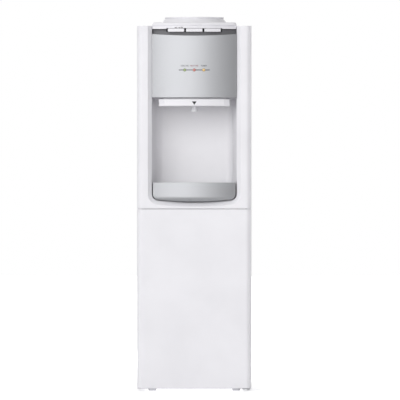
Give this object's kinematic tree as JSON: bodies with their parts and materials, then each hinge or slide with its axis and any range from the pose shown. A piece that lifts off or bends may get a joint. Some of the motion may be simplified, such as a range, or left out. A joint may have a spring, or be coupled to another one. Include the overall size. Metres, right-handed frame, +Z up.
{
  "type": "water dispenser",
  "caption": "Floor-standing water dispenser: bottle collar on top, push buttons over a bowed panel, nozzle and drip tray in a recess, storage cabinet with hinged door below.",
  "frame": {"origin": "on the floor under the middle of the whole machine", "axes": "+Z up, front faces -Y, +X to the right seen from the front"},
  "size_m": [0.31, 0.3414, 1.016],
  "materials": {
    "white_plastic": "satin",
    "white_steel": "satin",
    "silver_plastic": "metallic",
    "dark_plastic": "matte",
    "recess_plastic": "matte",
    "grille_plastic": "matte",
    "nozzle_plastic": "matte",
    "green_lens": "gloss",
    "red_lens": "gloss",
    "amber_lens": "gloss",
    "zinc_steel": "satin",
    "stainless": "brushed",
    "black_steel": "satin",
    "copper_line": "satin",
    "black_rubber": "matte",
    "grey_rubber": "matte",
    "clear_hose": "satin",
    "foam": "matte",
    "board": "satin",
    "valve_plastic": "satin",
    "black_plastic": "satin",
    "red_plastic": "satin",
    "green_plastic": "satin"
  },
  "bodies": {
    "cabinet": {"amber_lamp": "amber_lens", "back_panel": "white_steel", "base_plate": "white_steel", "button_bezel": "dark_plastic", "button_pivot_pin": "zinc_steel", "cabinet_liner": "white_plastic", "cold_tank": "stainless", "compressor": "black_steel", "compressor_mounts": "black_rubber", "condenser_tube": "black_steel", "condenser_wires": "black_steel", "cord_gland": "black_plastic", "cross_rail": "zinc_steel", "door_hinges": "zinc_steel", "drain_outlet": "valve_plastic", "evaporator_jacket": "copper_line", "feet": "grey_rubber", "front_frame": "white_plastic", "front_panel": "silver_plastic", "green_lamp": "green_lens", "hot_tank": "stainless", "hot_tank_foam": "foam", "hot_tank_heater": "stainless", "indicator_strip": "dark_plastic", "lamp_board": "board", "left_side_panel": "white_steel", "magnet_catch": "black_plastic", "nozzle_cover": "white_plastic", "outlet_manifold": "valve_plastic", "outlet_nozzle": "nozzle_plastic", "recess_liner": "recess_plastic", "red_lamp": "red_lens", "refrigerant_lines": "copper_line", "right_side_panel": "white_steel", "starter_box": "black_plastic", "switch_housings": "black_plastic", "tank_baffle": "valve_plastic", "tank_foam": "foam", "tank_seal": "clear_hose", "tank_supports": "zinc_steel", "tap_bracket": "zinc_steel", "taps": "valve_plastic", "top_cover": "white_plastic", "water_hoses": "clear_hose", "wire_shelf": "zinc_steel"},
    "door": {"door_shell": "white_plastic", "door_inner_panel": "white_plastic", "door_fittings": "zinc_steel"},
    "drip_tray": {"drip_tray": "silver_plastic"},
    "drip_grille": {"drip_grille": "grille_plastic"},
    "bottle_seat": {"bottle_seat": "white_plastic"},
    "drain_cap": {"drain_cap": "valve_plastic"},
    "hot_switch_rocker": {"hot_switch_rocker": "red_plastic"},
    "cold_switch_rocker": {"cold_switch_rocker": "green_plastic"},
    "hot_button": {"hot_button": "white_plastic"},
    "hot_plunger": {"hot_plunger": "valve_plastic"},
    "warm_button": {"warm_button": "white_plastic"},
    "warm_plunger": {"warm_plunger": "valve_plastic"},
    "cold_button": {"cold_button": "white_plastic"},
    "cold_plunger": {"cold_plunger": "valve_plastic"}
  },
  "joints": [
    {"name": "door_hinge", "type": "hinge", "parent": "cabinet", "child": "door", "pos_m": [0.141, -0.1375, 0.25], "axis": [0, 0, 1], "range_deg": [0, 115]},
    {"name": "drip_tray_slide", "type": "slide", "parent": "cabinet", "child": "drip_tray", "axis": [0, -1, 0], "range_m": [0, 0.16]},
    {"name": "drip_grille_lift", "type": "slide", "parent": "drip_tray", "child": "drip_grille", "axis": [0, 0, 1], "range_m": [0, 0.05]},
    {"name": "bottle_seat_lift", "type": "slide", "parent": "cabinet", "child": "bottle_seat", "axis": [0, 0, 1], "range_m": [0, 0.08]},
    {"name": "drain_cap_turn", "type": "hinge", "parent": "cabinet", "child": "drain_cap", "pos_m": [0, 0.1565, 0.229], "axis": [0, 1, 0], "continuous": true},
    {"name": "hot_switch_rock", "type": "hinge", "parent": "cabinet", "child": "hot_switch_rocker", "pos_m": [-0.018, 0.1429, 0.88], "axis": [1, 0, 0], "range_deg": [0, 16]},
    {"name": "cold_switch_rock", "type": "hinge", "parent": "cabinet", "child": "cold_switch_rocker", "pos_m": [0.018, 0.1429, 0.88], "axis": [1, 0, 0], "range_deg": [0, 16]},
    {"name": "hot_button_press", "type": "hinge", "parent": "cabinet", "child": "hot_button", "pos_m": [-0.0495, -0.1115, 0.978], "axis": [1, 0, 0], "range_deg": [0, 6], "stiffness_Nm_per_rad": 0.3, "springref_deg": -20.05},
    {"name": "hot_plunger_slide", "type": "slide", "parent": "cabinet", "child": "hot_plunger", "axis": [0, 0, -1], "range_m": [0, 0.0025]},
    {"name": "warm_button_press", "type": "hinge", "parent": "cabinet", "child": "warm_button", "pos_m": [0, -0.1115, 0.978], "axis": [1, 0, 0], "range_deg": [0, 6], "stiffness_Nm_per_rad": 0.3, "springref_deg": -20.05},
    {"name": "warm_plunger_slide", "type": "slide", "parent": "cabinet", "child": "warm_plunger", "axis": [0, 0, -1], "range_m": [0, 0.0025]},
    {"name": "cold_button_press", "type": "hinge", "parent": "cabinet", "child": "cold_button", "pos_m": [0.0495, -0.1115, 0.978], "axis": [1, 0, 0], "range_deg": [0, 6], "stiffness_Nm_per_rad": 0.3, "springref_deg": -20.05},
    {"name": "cold_plunger_slide", "type": "slide", "parent": "cabinet", "child": "cold_plunger", "axis": [0, 0, -1], "range_m": [0, 0.0025]}
  ],
  "couplings": [
    {"joint": "hot_plunger_slide", "follows": "hot_button_press", "m_per_rad": 0.022},
    {"joint": "warm_plunger_slide", "follows": "warm_button_press", "m_per_rad": 0.022},
    {"joint": "cold_plunger_slide", "follows": "cold_button_press", "m_per_rad": 0.022}
  ]
}
